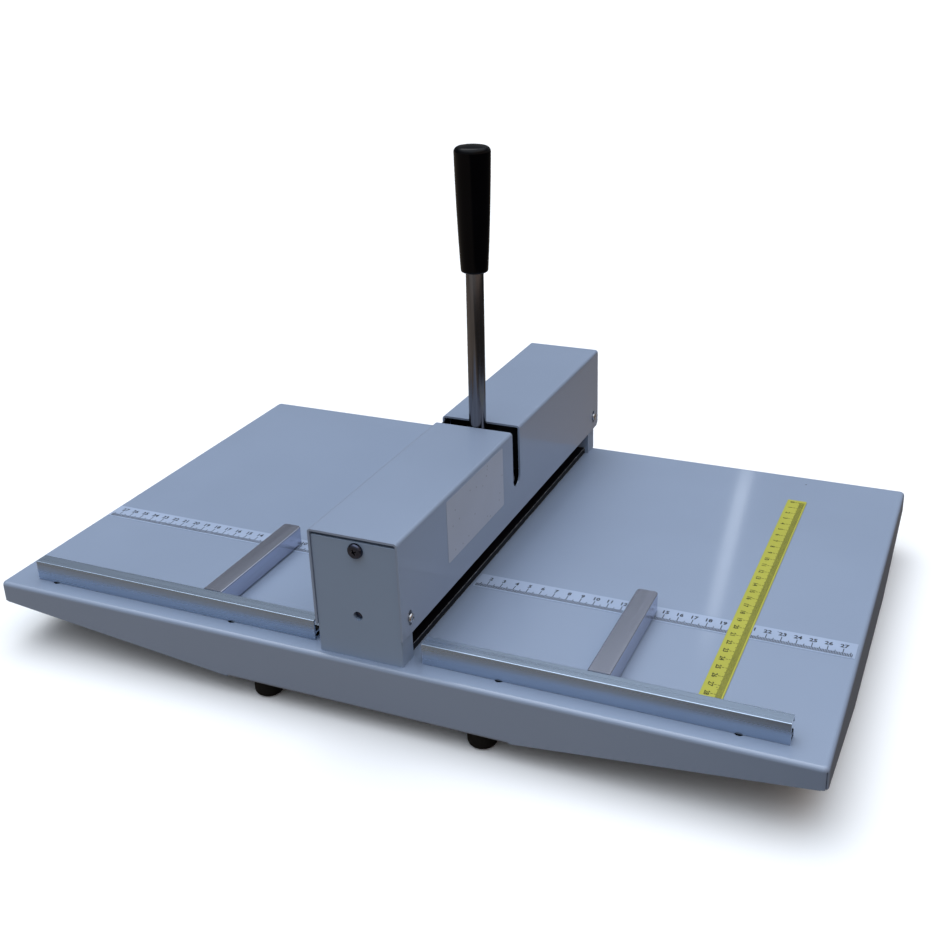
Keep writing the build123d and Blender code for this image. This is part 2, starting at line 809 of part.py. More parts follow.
def rail(side):
    # Box section with a web: the nuts lie below it, and above it the stop's slider runs, whose neck
    # comes out of a slot along the rear wall.
    outline = RectangleRounded(rail_depth, rail_height, rail_edge_radius)
    outline -= Rectangle(rail_depth - 2 * rail_wall, rail_height - 2 * rail_wall)
    slot = rail_slot_rise - rail_height / 2
    outline -= Pos(rail_depth / 2, slot) * Rectangle(3 * rail_wall, rail_slot_height)
    web = rail_web_rise + rail_web / 2 - rail_height / 2
    outline += Pos(0, web) * Rectangle(rail_depth - 2 * rail_wall, rail_web)
    start = rail_inner_x if side > 0 else -rail_outer_x
    centre = (start, rail_front_y + rail_depth / 2, table_top + rail_height / 2)
    section = Plane(origin=centre, x_dir=(0, 1, 0), z_dir=(1, 0, 0)) * outline
    channel = extrude(section, amount=rail_length)
    for x, y in rail_screw_places():
        if x * side > 0:
            channel -= upright(rail_screw_radius, x, rail_nut_y(), (table_top - 1, table_top + rail_wall + 1))
    return channel


def rail_nut_y():
    # The nuts lie against the inside of the rail's front wall.
    return rail_front_y + rail_wall + rail_nut_size / 2


def rail_screws():
    screws = []
    tip = table_top + rail_wall + rail_nut_height
    y = rail_nut_y()
    for x, _ in rail_screw_places():
        head = upright(rail_head_radius, x, y, (table_under - rail_head_height, table_under))
        screws.append(head + upright(rail_screw_radius, x, y, (table_under, tip)))
    return group(screws)


def rail_nuts():
    nuts = []
    low = table_top + rail_wall
    y = rail_nut_y()
    half = rail_nut_size / 2
    for x, _ in rail_screw_places():
        nut = box((x - half, x + half), (y - half, y + half), (low, low + rail_nut_height))
        nuts.append(nut - upright(rail_screw_radius, x, y, (low - 1, low + rail_nut_height + 1)))
    return group(nuts)


def stop_bar(x):
    near = rail_rear_y + stop_gap
    half = stop_width / 2
    bar = box((x - half, x + half), (near, stop_reach), (stop_bottom, stop_top))
    far_corners = bar.edges().filter_by(Axis.Z).group_by(Axis.Y)[-1]
    bar = fillet(far_corners, stop_corner_radius)
    long_edges = bar.faces().sort_by(Axis.Z)[-1].edges().filter_by(Axis.Y)
    bar = fillet(long_edges, stop_edge_radius)
    return bar - lengthwise(stop_screw_radius, x, slider_z(), (near - 1, stop_screw_tip()))


def slider_z():
    return table_top + rail_slot_rise


def slider_front():
    return rail_front_y + rail_wall + slider_fit


def stop_screw_tip():
    return rail_rear_y + stop_gap + stop_screw_length / 2


def stop_slider(x):
    # T-shaped slider: the head runs inside the rail, the neck passes its slot.
    front = slider_front()
    back = rail_rear_y - rail_wall - slider_fit
    top = table_top + rail_height - rail_wall - slider_fit
    half = slider_head / 2
    head = box((x - half, x + half), (front, back), (table_top + slider_head_bottom, top))
    head = chamfer(head.edges().filter_by(Axis.Z), slider_chamfer)
    half_neck = rail_slot_height / 2 - slider_fit
    neck_z = (slider_z() - half_neck, slider_z() + half_neck)
    slider = head + box((x - slider_neck / 2, x + slider_neck / 2), (back, rail_rear_y + stop_gap), neck_z)
    slider -= lengthwise(stop_screw_radius, x, slider_z(), (front - 1, rail_rear_y + 1))
    return slider - lengthwise(stop_head_radius, x, slider_z(), (front - 1, front + stop_head_height))


def stop_screw(x):
    front = slider_front()
    screw = lengthwise(stop_head_radius, x, slider_z(), (front, front + stop_head_height))
    return screw + lengthwise(stop_screw_radius, x, slider_z(), (front, stop_screw_tip()))


def rule_front_y():
    return rail_rear_y + rule_rail_gap


def scale_strip(side):
    near = (scale_middle_y - scale_width / 2, scale_middle_y + scale_width / 2)
    ends = (die_width / 2 + scale_edge_gap, table_width / 2 - bend_radius)
    x_range = ends if side > 0 else (-ends[1], -ends[0])
    strip = box(x_range, near, (table_top, table_top + scale_thickness))
    if side > 0:
        half = rule_width / 2
        under_rule = (rule_middle_x - half, rule_middle_x + half)
        strip -= box(under_rule, (near[0] - 1, near[1] + 1), (table_top - 1, table_top + 1))
    return group([strip])


def length_rule():
    half = rule_width / 2
    ends = (rule_front_y(), rule_front_y() + rule_length)
    rule = box((rule_middle_x - half, rule_middle_x + half), ends, (table_top, table_top + rule_thickness))
    return fillet(rule.edges().filter_by(Axis.Z), rule_corner_radius)


def pieces():
    named = {
        "table_tray": table_tray(),
        "bed_bar": bed_bar(),
        "foot_screws": foot_screws(),
        "foot_nuts": foot_nuts(),
        "end_plate_front": end_plate(cover_screw_places()[0]),
        "end_plate_rear": rear_end_plate(),
        "end_plate_screws": cap_screws(
            plate_screw_places(),
            plate_screw_radius,
            cap_head_radius,
            cap_head_height,
            table_top + plate_screw_depth,
        ),
        "die_screws": cap_screws(
            die_screw_places(),
            die_screw_radius,
            die_head_radius,
            die_head_height,
            table_top + die_screw_depth,
        ),
        "housing_cover": housing_cover(),
        "cover_screws": cover_screws(),
        "cover_block_front": cover_block(),
        "cover_block_rear": mirrored_to_rear(cover_block(), middle_y),
        "cover_block_screws": block_screws(),
        "lower_die": lower_die(),
        "crease_matrix": crease_matrix(),
        "press_beam": press_beam(),
        "creasing_blade": creasing_blade(),
        "blade_screws": blade_screws(),
        "camshaft": camshaft(),
        "shaft_set_screws": shaft_set_screws(),
        "bearing_bush_front": bearing_bush(),
        "bearing_bush_rear": mirrored_to_rear(bearing_bush(), middle_y),
        "lever_hub": leaned(lever_hub()),
        "lever_rod": leaned(lever_rod()),
        "lever_grip": leaned(lever_grip()),
        "rail_screws": rail_screws(),
        "rail_nuts": rail_nuts(),
        "length_rule": length_rule(),
    }
    for row, y in (("front", foot_inset_y), ("rear", table_depth - foot_inset_y)):
        for hand, x in (("left", -foot_offset_x), ("right", foot_offset_x)):
            named[f"foot_{row}_{hand}"] = foot(x, y)
    for row, y in zip(("front", "rear"), pin_places()):
        named[f"guide_pin_{row}"] = guide_pin(y)
        named[f"return_spring_{row}"] = return_spring(y)
    for number, y in enumerate(cam_places(), start=1):
        named[f"cam_{number}"] = cam(y)
        named[f"cam_pad_{number}"] = cam_pad(y)
    for hand, side, stop_x in (("left", -1, left_stop_x), ("right", 1, right_stop_x)):
        named[f"rail_{hand}"] = rail(side)
        named[f"scale_{hand}"] = scale_strip(side)
        named[f"stop_bar_{hand}"] = stop_bar(stop_x)
        named[f"stop_slider_{hand}"] = stop_slider(stop_x)
        named[f"stop_screw_{hand}"] = stop_screw(stop_x)
    return named


os.makedirs("parts", exist_ok=True)
for name, piece in pieces().items():
    export_step(Pos(0, -overall_depth / 2, 0) * piece, f"parts/{name}.step")
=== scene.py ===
import math

import bmesh
import bpy
from mathutils import Matrix, Vector


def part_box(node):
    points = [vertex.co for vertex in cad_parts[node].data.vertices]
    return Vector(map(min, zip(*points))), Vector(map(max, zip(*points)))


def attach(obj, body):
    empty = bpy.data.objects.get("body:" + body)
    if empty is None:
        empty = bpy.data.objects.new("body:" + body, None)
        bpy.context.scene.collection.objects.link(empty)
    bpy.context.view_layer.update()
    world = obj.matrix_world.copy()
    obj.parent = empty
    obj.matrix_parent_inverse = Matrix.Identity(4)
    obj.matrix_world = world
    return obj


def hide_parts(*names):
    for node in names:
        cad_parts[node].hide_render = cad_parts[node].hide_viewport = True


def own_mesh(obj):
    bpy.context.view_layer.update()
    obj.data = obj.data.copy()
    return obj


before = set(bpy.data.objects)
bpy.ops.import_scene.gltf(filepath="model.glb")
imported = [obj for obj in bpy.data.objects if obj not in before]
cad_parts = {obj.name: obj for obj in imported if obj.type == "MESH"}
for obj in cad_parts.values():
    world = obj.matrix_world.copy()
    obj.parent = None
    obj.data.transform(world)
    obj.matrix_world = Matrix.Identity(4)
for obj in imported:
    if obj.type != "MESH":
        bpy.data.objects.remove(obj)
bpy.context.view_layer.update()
print("stage: frame loaded,", len(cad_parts), "nodes")

mm = 0.001

# places that the pieces share, in metres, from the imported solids
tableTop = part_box("rail_left")[0].z
shaftZ = (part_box("camshaft")[0].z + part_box("camshaft")[1].z) / 2
leverY = (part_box("lever_rod")[0].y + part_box("lever_rod")[1].y) / 2
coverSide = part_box("housing_cover")[1].x


def addObject(name, data):
    thing = bpy.data.objects.new(name, data)
    bpy.context.scene.collection.objects.link(thing)
    return thing


def meshFrom(bm, name):
    mesh = bpy.data.meshes.new(name)
    bm.to_mesh(mesh)
    bm.free()
    return mesh


def newGroup(name, vectors, values, outputs):
    # vectors and values come in, masks or heights go out
    group = bpy.data.node_groups.new(name, "ShaderNodeTree")
    for socketName in vectors:
        group.interface.new_socket(socketName, in_out="INPUT", socket_type="NodeSocketVector")
    for socketName, value in values.items():
        socket = group.interface.new_socket(socketName, in_out="INPUT", socket_type="NodeSocketFloat")
        socket.default_value = value
    for socketName in outputs:
        group.interface.new_socket(socketName, in_out="OUTPUT", socket_type="NodeSocketFloat")
    start = group.nodes.new("NodeGroupInput")
    end = group.nodes.new("NodeGroupOutput")
    return group, start.outputs, end.inputs


def setSocket(tree, socket, value):
    # a socket takes the output of another node, or a value of its own
    if isinstance(value, bpy.types.NodeSocket):
        tree.links.new(value, socket)
    elif value is not None:
        socket.default_value = value


def mathNode(tree, operation, first, second=None, clamp=False):
    node = tree.nodes.new("ShaderNodeMath")
    node.operation = operation
    node.use_clamp = clamp
    setSocket(tree, node.inputs[0], first)
    setSocket(tree, node.inputs[1], second)
    return node.outputs[0]


def dotNode(tree, first, second):
    node = tree.nodes.new("ShaderNodeVectorMath")
    node.operation = "DOT_PRODUCT"
    setSocket(tree, node.inputs[0], first)
    setSocket(tree, node.inputs[1], second)
    return node.outputs["Value"]


def mixNode(tree, factor, first, second):
    # blends two colours
    node = tree.nodes.new("ShaderNodeMix")
    node.data_type = "RGBA"
    setSocket(tree, node.inputs["Factor"], factor)
    for socketName, colour in (("A", first), ("B", second)):
        isLink = isinstance(colour, bpy.types.NodeSocket)
        setSocket(tree, node.inputs[socketName], colour if isLink else (*colour, 1.0))
    return node.outputs["Result"]


def noiseNode(tree, vector, scale, detail, roughness=0.5):
    node = tree.nodes.new("ShaderNodeTexNoise")
    setSocket(tree, node.inputs["Vector"], vector)
    setSocket(tree, node.inputs["Scale"], scale)
    setSocket(tree, node.inputs["Detail"], detail)
    setSocket(tree, node.inputs["Roughness"], roughness)
    return node.outputs["Fac"]


def rampNode(tree, value, low, high):
    # rises smoothly from 0 at low to 1 at high
    node = tree.nodes.new("ShaderNodeMapRange")
    node.interpolation_type = "SMOOTHSTEP"
    setSocket(tree, node.inputs["Value"], value)
    setSocket(tree, node.inputs["From Min"], low)
    setSocket(tree, node.inputs["From Max"], high)
    return node.outputs["Result"]


def makeOrangePeel():
    # the slow ripple and the fine, shallower pits of sprayed enamel or moulded plastic
    group, start, end = newGroup("orangePeel", ["Vector"], {"Ripple": 160.0, "Pits": 900.0}, ["Height"])
    pitDepth = 0.25
    ripple = noiseNode(group, start["Vector"], start["Ripple"], detail=1.0)
    pits = noiseNode(group, start["Vector"], start["Pits"], detail=1.0)
    height = mathNode(group, "ADD", ripple, mathNode(group, "MULTIPLY", pits, pitDepth))
    group.links.new(height, end["Height"])
    return group


def makeWearAndHighlightEdges():
    # marks outer edges, more weakly in patches along them: rubbed wear on most finishes, and a painted
    # highlight on the edges of the rails and the die
    values = {"Breaks": 120.0, "Width": 0.7 * mm, "Amount": 0.5}
    group, start, end = newGroup("wearAndHighlightEdges", ["Vector"], values, ["Mask"])
    weakest = 0.4
    rounded = group.nodes.new("ShaderNodeBevel")
    rounded.samples = 4
    group.links.new(start["Width"], rounded.inputs["Radius"])
    surface = group.nodes.new("ShaderNodeNewGeometry")
    bend = dotNode(group, rounded.outputs["Normal"], surface.outputs["Normal"])
    edge = rampNode(group, mathNode(group, "SUBTRACT", 1.0, bend), low=0.02, high=0.2)
    patches = noiseNode(group, start["Vector"], start["Breaks"], detail=4.0)
    strong = rampNode(group, patches, low=0.42, high=0.62)
    kept = mathNode(group, "ADD", mathNode(group, "MULTIPLY", strong, 1.0 - weakest), weakest)
    edgeMask = mathNode(group, "MULTIPLY", edge, kept)
    group.links.new(mathNode(group, "MULTIPLY", edgeMask, start["Amount"], clamp=True), end["Mask"])
    return group


def makeHandled():
    # cloudy marks left by hands and wiping
    group, start, end = newGroup("handled", ["Vector"], {"Scale": 14.0}, ["Mask"])
    clouds = noiseNode(group, start["Vector"], start["Scale"], detail=4.0, roughness=0.6)
    group.links.new(rampNode(group, clouds, low=0.25, high=0.78), end["Mask"])
    return group


def makeSpecks():
    # small dark spots, such as dust under the paint; Share is the part of the cells that has one
    values = {"Scale": 160.0, "Size": 0.1, "Share": 0.05}
    group, start, end = newGroup("specks", ["Vector"], values, ["Mask"])
    cells = group.nodes.new("ShaderNodeTexVoronoi")
    group.links.new(start["Vector"], cells.inputs["Vector"])
    group.links.new(start["Scale"], cells.inputs["Scale"])
    near = mathNode(group, "LESS_THAN", cells.outputs["Distance"], start["Size"])
    split = group.nodes.new("ShaderNodeSeparateColor")
    group.links.new(cells.outputs["Color"], split.inputs["Color"])
    rare = mathNode(group, "LESS_THAN", split.outputs["Red"], start["Share"])
    group.links.new(mathNode(group, "MULTIPLY", near, rare), end["Mask"])
    return group


def makeDrawnLines():
    # fine parallel lines, as drawing, rolling or grinding leaves them, and wider stains
    group, start, end = newGroup("drawnLines", ["Vector", "Along"], {}, ["Lines", "Blotches"])
    blotchScale = 30.0
    stretch = group.nodes.new("ShaderNodeVectorMath")
    stretch.operation = "MULTIPLY"
    group.links.new(start["Vector"], stretch.inputs[0])
    group.links.new(start["Along"], stretch.inputs[1])
    lines = noiseNode(group, stretch.outputs["Vector"], 1.0, detail=3.0, roughness=0.6)
    blotches = noiseNode(group, start["Vector"], blotchScale, detail=4.0, roughness=0.6)
    group.links.new(lines, end["Lines"])
    group.links.new(blotches, end["Blotches"])
    return group


orangePeel = makeOrangePeel()
wearAndHighlightEdges = makeWearAndHighlightEdges()
handled = makeHandled()
specks = makeSpecks()
drawnLines = makeDrawnLines()


def shade(colour, share):
    return tuple(min(1.0, value * share) for value in colour)


class Finish:
    # one material: its shader, its object coordinates and short ways to add to it
    def __init__(self, name, look):
        self.material = bpy.data.materials.new(name)
        self.material.use_nodes = True
        self.material.diffuse_color = (*look["colour"], 1.0)
        self.tree = self.material.node_tree
        self.shader = self.tree.nodes["Principled BSDF"]
        self.place = self.tree.nodes.new("ShaderNodeTexCoord").outputs["Object"]
        self.shader.inputs["Base Color"].default_value = (*look["colour"], 1.0)
        self.shader.inputs["Roughness"].default_value = look["roughness"]
        self.shader.inputs["Metallic"].default_value = look.get("metallic", 0.0)
        self.shader.inputs["Specular IOR Level"].default_value = look.get("specular", 0.5)
        self.shader.inputs["Coat Weight"].default_value = look.get("coat", 0.0)
        self.shader.inputs["Coat Roughness"].default_value = look.get("coatRoughness", 0.1)

    def group(self, group, **values):
        node = self.tree.nodes.new("ShaderNodeGroup")
        node.node_tree = group
        self.tree.links.new(self.place, node.inputs["Vector"])
        for socketName, value in values.items():
            node.inputs[socketName].default_value = value
        return node.outputs

    def mix(self, mask, first, second):
        return mixNode(self.tree, mask, first, second)

    def tones(self, mask, colour, darkest, lightest):
        # the same colour, darker and lighter by turns
        return self.mix(mask, shade(colour, darkest), shade(colour, lightest))

    def between(self, mask, low, high):
        node = self.tree.nodes.new("ShaderNodeMapRange")
        self.tree.links.new(mask, node.inputs["Value"])
        node.inputs["To Min"].default_value = low
        node.inputs["To Max"].default_value = high
        return node.outputs["Result"]

    def feed(self, socketName, value):
        self.tree.links.new(value, self.shader.inputs[socketName])

    def roughen(self, mask, roughness, smoothest, roughest):
        self.feed("Roughness", self.between(mask, roughness * smoothest, roughness * roughest))

    def bump(self, height, distance):
        # the distance is in millimetres
        node = self.tree.nodes.new("ShaderNodeBump")
        node.inputs["Distance"].default_value = distance * mm
        self.tree.links.new(height, node.inputs["Height"])
        self.feed("Normal", node.outputs["Normal"])


def enamelFinish(name, look):
    # sprayed paint: a faint drift in its colour, a few dark specks, rubbed edges
    finish = Finish(name, look)
    colour = look["colour"]
    speckColour = shade(colour, 0.3)
    wornColour = shade(colour, look["wornShare"])
    clouds = finish.group(handled, Scale=7.0)["Mask"]
    dots = finish.group(specks, Scale=look["speckScale"], Size=look["speckSize"], Share=0.04)["Mask"]
    edgeMask = finish.group(wearAndHighlightEdges, Breaks=90.0, Width=0.5 * mm, Amount=look["wear"])["Mask"]
    toned = finish.tones(clouds, colour, darkest=0.975, lightest=1.025)
    dotted = finish.mix(dots, toned, speckColour)
    finish.feed("Base Color", finish.mix(edgeMask, dotted, wornColour))
    finish.roughen(clouds, look["roughness"], smoothest=0.94, roughest=1.06)
    finish.bump(finish.group(orangePeel, Ripple=120.0, Pits=500.0)["Height"], look["peel"])
    return finish.material


def metalFinish(name, look):
    # drawn or ground metal: lines along it, stains, and edges in their own colour where the look gives one,
    # which is wear on most metals and a painted highlight on the rails and the die
    finish = Finish(name, look)
    colour = look["colour"]
    stain = look.get("stain", 0.12)
    lines = finish.group(drawnLines, Along=look["along"])
    blotched = finish.tones(lines["Blotches"], colour, darkest=1.0 - stain, lightest=1.0 + stain)
    drawn = rampNode(finish.tree, lines["Lines"], low=0.3, high=0.75)
    lined = finish.mix(drawn, blotched, shade(colour, 1.0 + stain))
    # the edge colour is wear, and on the rails and the die a painted highlight
    if "worn" in look:
        width = look.get("wornWidth", 0.5) * mm
        edgeMask = finish.group(wearAndHighlightEdges, Breaks=110.0, Width=width, Amount=0.95)["Mask"]
        lined = finish.mix(edgeMask, lined, look["worn"])
        finish.feed("Metallic", finish.between(edgeMask, look["metallic"], 1.0))
    finish.feed("Base Color", lined)
    finish.roughen(lines["Lines"], look["roughness"], smoothest=0.8, roughest=1.2)
    finish.bump(lines["Lines"], look["depth"])
    return finish.material


def mouldedFinish(name, look):
    # plastic, rubber and thick ink: a cloudy colour over a fine grain
    finish = Finish(name, look)
    grain = look["grain"]
    clouds = finish.group(handled, Scale=40.0)["Mask"]
    finish.feed("Base Color", finish.tones(clouds, look["colour"], darkest=0.8, lightest=1.25))
    finish.roughen(clouds, look["roughness"], smoothest=0.85, roughest=1.2)
    finish.bump(finish.group(orangePeel, Ripple=grain / 4, Pits=grain)["Height"], look["depth"])
    return finish.material


def paperFinish(name, look):
    # tape and paper: slightly clouded, dusty in places, with a rubbed border
    finish = Finish(name, look)
    colour = look["colour"]
    dustColour = shade(colour, 0.55)
    borderColour = shade(colour, look["border"])
    clouds = finish.group(handled, Scale=look["cloudScale"])["Mask"]
    dots = finish.group(specks, Scale=220.0, Size=0.14, Share=0.06)["Mask"]
    edgeMask = finish.group(wearAndHighlightEdges, Breaks=60.0, Width=0.6 * mm, Amount=0.7)["Mask"]
    toned = finish.tones(clouds, colour, darkest=0.93, lightest=1.03)
    dotted = finish.mix(dots, toned, dustColour)
    finish.feed("Base Color", finish.mix(edgeMask, dotted, borderColour))
    finish.roughen(clouds, look["roughness"], smoothest=0.85, roughest=1.15)
    finish.bump(finish.group(orangePeel, Ripple=60.0, Pits=600.0)["Height"], distance=0.012)
    return finish.material


# colours are linear; depths and widths are in millimetres; scales and grain count per metre
looks = {
    "enamel": {
        "kind": enamelFinish, "colour": (0.245, 0.305, 0.42), "roughness": 0.38, "coat": 0.6,
        "coatRoughness": 0.06, "wear": 0.3, "wornShare": 1.15, "speckScale": 45.0, "speckSize": 0.035,
        "peel": 0.006,
    },
    "plateEnamel": {
        "kind": enamelFinish, "colour": (0.245, 0.32, 0.445), "roughness": 0.45, "coat": 0.05,
        "wear": 0.5, "wornShare": 0.6, "speckScale": 90.0, "speckSize": 0.08, "peel": 0.01,
    },
    # the rails' pale edge colour is partly a burnished edge, partly a painted highlight along their edges
    "railMetal": {
        "kind": metalFinish, "colour": (0.39, 0.475, 0.60), "roughness": 0.28, "metallic": 0.9,
        "along": (4.0, 320.0, 320.0), "depth": 0.0015, "stain": 0.06, "worn": (0.85, 0.88, 0.95),
        "wornWidth": 0.6,
    },
    "stopMetal": {
        "kind": metalFinish, "colour": (0.48, 0.50, 0.60), "roughness": 0.24, "metallic": 0.95,
        "along": (260.0, 5.0, 260.0), "depth": 0.004, "stain": 0.09, "worn": (0.5, 0.53, 0.6),
    },
    "rodMetal": {
        "kind": metalFinish, "colour": (0.155, 0.15, 0.16), "roughness": 0.2, "metallic": 1.0,
        "along": (500.0, 500.0, 9.0), "depth": 0.01, "stain": 0.4,
    },
    "zinc": {
        "kind": metalFinish, "colour": (0.42, 0.42, 0.43), "roughness": 0.22, "metallic": 1.0,
        "along": (400.0, 400.0, 400.0), "depth": 0.01,
    },
    "agedScrew": {
        "kind": metalFinish, "colour": (0.06, 0.065, 0.095), "roughness": 0.2, "metallic": 1.0,
        "along": (300.0, 300.0, 300.0), "depth": 0.015, "stain": 0.35, "worn": (0.4, 0.4, 0.42),
    },
    # inside the rails' channels: a near-black painted shade where the hollow lies in shadow
    "railInsideShade": {
        "kind": metalFinish, "colour": (0.012, 0.013, 0.016), "roughness": 0.6, "metallic": 0.3,
        "specular": 0.2, "along": (6.0, 400.0, 400.0), "depth": 0.01,
    },
    "toolSteel": {
        "kind": metalFinish, "colour": (0.42, 0.42, 0.43), "roughness": 0.3, "metallic": 1.0,
        "along": (900.0, 20.0, 900.0), "depth": 0.01,
    },
    "darkSteel": {
        "kind": metalFinish, "colour": (0.012, 0.012, 0.014), "roughness": 0.55, "metallic": 0.4,
        "specular": 0.3, "along": (500.0, 30.0, 500.0), "depth": 0.02, "worn": (0.03, 0.03, 0.032),
    },
    # the die's white, fully metallic edge colour is a painted highlight along its top edge
    "dieSteel": {
        "kind": metalFinish, "colour": (0.004, 0.004, 0.006), "roughness": 0.5, "metallic": 0.2,
        "specular": 0.1, "along": (500.0, 20.0, 500.0), "depth": 0.02, "worn": (1.0, 1.0, 1.0),
        "wornWidth": 0.9,
    },
    "bronze": {
        "kind": metalFinish, "colour": (0.62, 0.44, 0.22), "roughness": 0.35, "metallic": 1.0,
        "along": (300.0, 300.0, 300.0), "depth": 0.01,
    },
    "gripPlastic": {
        "kind": mouldedFinish, "colour": (0.001, 0.001, 0.0018), "roughness": 0.12, "specular": 0.12,
        "grain": 400.0, "depth": 0.006,
    },
    "rubber": {
        "kind": mouldedFinish, "colour": (0.004, 0.004, 0.004), "roughness": 0.6, "specular": 0.25,
        "grain": 1400.0, "depth": 0.04,
    },
    "nylon": {
        "kind": mouldedFinish, "colour": (0.68, 0.68, 0.64), "roughness": 0.45,
        "grain": 900.0, "depth": 0.02,
    },
    "whiteTape": {
        "kind": paperFinish, "colour": (0.335, 0.41, 0.555), "roughness": 0.42, "coat": 0.1,
        "cloudScale": 25.0, "border": 1.0,
    },
    "yellowTape": {
        "kind": paperFinish, "colour": (0.42, 0.415, 0.05), "roughness": 0.36, "coat": 0.1,
        "cloudScale": 20.0, "border": 0.75,
    },
    "blackInk": {
        "kind": mouldedFinish, "colour": (0.008, 0.008, 0.012), "roughness": 0.5, "specular": 0.3,
        "grain": 900.0, "depth": 0.003,
    },
    "oliveInk": {
        "kind": mouldedFinish, "colour": (0.03, 0.03, 0.004), "roughness": 0.5, "specular": 0.3,
        "grain": 900.0, "depth": 0.003,
    },
    "stickerPaper": {
        "kind": paperFinish, "colour": (0.43, 0.48, 0.58), "roughness": 0.5, "cloudScale": 18.0,
        "border": 0.8,
    },
}
finishes = {name: look["kind"](name, look) for name, look in looks.items()}
print("stage: finishes made,", len(finishes))

nodeFinishes = {
    "enamel": ["table_tray", "housing_cover"],
    "plateEnamel": ["end_plate_front", "end_plate_rear"],
    "railMetal": ["rail_left", "rail_right"],
    "stopMetal": ["stop_bar_left", "stop_bar_right"],
    "rodMetal": ["lever_rod", "guide_pin_front", "guide_pin_rear"],
    "zinc": [
        "foot_screws", "foot_nuts", "cover_screws", "rail_screws", "rail_nuts", "stop_screw_left",
        "stop_screw_right", "return_spring_front", "return_spring_rear",
    ],
    "agedScrew": ["cover_block_screws"],
    "toolSteel": ["crease_matrix", "creasing_blade"],
    "darkSteel": [
        "bed_bar", "press_beam", "cover_block_front", "cover_block_rear", "die_screws", "end_plate_screws",
        "blade_screws", "shaft_set_screws", "camshaft", "lever_hub",
    ],
    "dieSteel": ["lower_die"],
    "bronze": ["bearing_bush_front", "bearing_bush_rear"],
    "gripPlastic": ["lever_grip"],
    "rubber": ["foot_front_left", "foot_front_right", "foot_rear_left", "foot_rear_right"],
    "nylon": ["stop_slider_left", "stop_slider_right"],
    "whiteTape": ["scale_left", "scale_right"],
    "yellowTape": ["length_rule"],
}
for number in range(1, 5):
    nodeFinishes["toolSteel"] += [f"cam_{number}", f"cam_pad_{number}"]

for finishName, nodeNames in nodeFinishes.items():
    for nodeName in nodeNames:
        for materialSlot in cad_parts[nodeName].material_slots:
            materialSlot.material = finishes[finishName]


# fitted to the marks of the scales and to the table's edges; metres, with the roll in degrees, the
# lens and the sensor in millimetres, and the shift in picture widths
cameraPlan = {
    "place": (0.35979, -0.77518, 0.49649),
    "target": (-0.03136, 0.12768, 0.093),
    "roll": -1.5614,
    "lens": 46.83,
    "sensor": 36.0,
    "shift": (-0.0329, -0.0582),
    "nearest": 0.01,
}


def makeCamera(plan):
    camera = addObject("camera", bpy.data.cameras.new("camera"))
    camera.data.sensor_width = plan["sensor"]
    camera.data.lens = plan["lens"]
    camera.data.shift_x, camera.data.shift_y = plan["shift"]
    camera.data.clip_start = plan["nearest"]
    look = Vector(plan["target"]) - Vector(plan["place"])
    roll = Matrix.Rotation(math.radians(plan["roll"]), 3, "Z")
    turned = look.to_track_quat("-Z", "Y").to_matrix() @ roll
    camera.matrix_world = Matrix.Translation(plan["place"]) @ turned.to_4x4()
    bpy.context.scene.camera = camera


# metres; the light that the floor throws back falls from bounced to shaded as x goes from shadeFrom
# to shadeTo
floorPlan = {
    "size": 60.0, "seen": 0.98, "bounced": (0.25, 0.205, 0.16), "shadeFrom": 0.1, "shadeTo": 0.4,
    "shaded": (0.045, 0.04, 0.035),
}


def makeFloor(plan):
    # a pale sheet that throws back less light than it shows, as a floor with a dark room round it does
    bm = bmesh.new()
    bmesh.ops.create_grid(bm, x_segments=2, y_segments=2, size=plan["size"] / 2)
    floor = addObject("floor", meshFrom(bm, "floor"))
    finish = Finish("paleFloor", {"colour": (plan["seen"],) * 3, "roughness": 0.8, "specular": 0.0})
    tree = finish.tree
    dark = tree.nodes.new("ShaderNodeBsdfDiffuse")
    along = dotNode(tree, finish.place, (1.0, 0.0, 0.0))
    rightward = rampNode(tree, along, plan["shadeFrom"], plan["shadeTo"])
    tree.links.new(finish.mix(rightward, plan["bounced"], plan["shaded"]), dark.inputs["Color"])
    choice = tree.nodes.new("ShaderNodeMixShader")
    tree.links.new(tree.nodes.new("ShaderNodeLightPath").outputs["Is Camera Ray"], choice.inputs["Fac"])
    tree.links.new(dark.outputs["BSDF"], choice.inputs[1])
    tree.links.new(finish.shader.outputs["BSDF"], choice.inputs[2])
    tree.links.new(choice.outputs["Shader"], tree.nodes["Material Output"].inputs["Surface"])
    floor.data.materials.append(finish.material)


# facing points at a lamp's middle; from and to are the cosines of the angles off it where the lamp
# starts and where it is full. The gap of light is where a direction reaches as far along across as
# middle, give or take width; rise is the heights where it starts, is full, fades and ends
skyPlan = {
    "horizon": 0.1,
    "lowColour": (0.98, 0.92, 0.85),
    "highColour": (0.87, 0.95, 1.05),
    "highFrom": 0.35,
    "sideColour": (1.0, 0.8, 0.66),
    "lamps": {
        "overhead": {"strength": 1.92, "facing": (0.0, 0.0, 1.0), "from": 0.48, "to": 0.98},
        "window": {"strength": 0.07, "facing": (0.35, 0.86, 0.42), "from": 0.55, "to": 0.98},
        "front": {"strength": 0.32, "facing": (-0.2, -0.9, 0.4), "from": 0.3, "to": 0.98},
        "side": {"strength": 0.32, "facing": (0.95, -0.15, 0.12), "from": 0.4, "to": 0.98},
    },
    "gap": {
        "strength": 3.0, "across": (0.958, 0.2, 0.2055), "middle": 0.0952, "width": 0.005,
        "rise": (0.38, 0.44, 0.5, 0.56),
    },
}


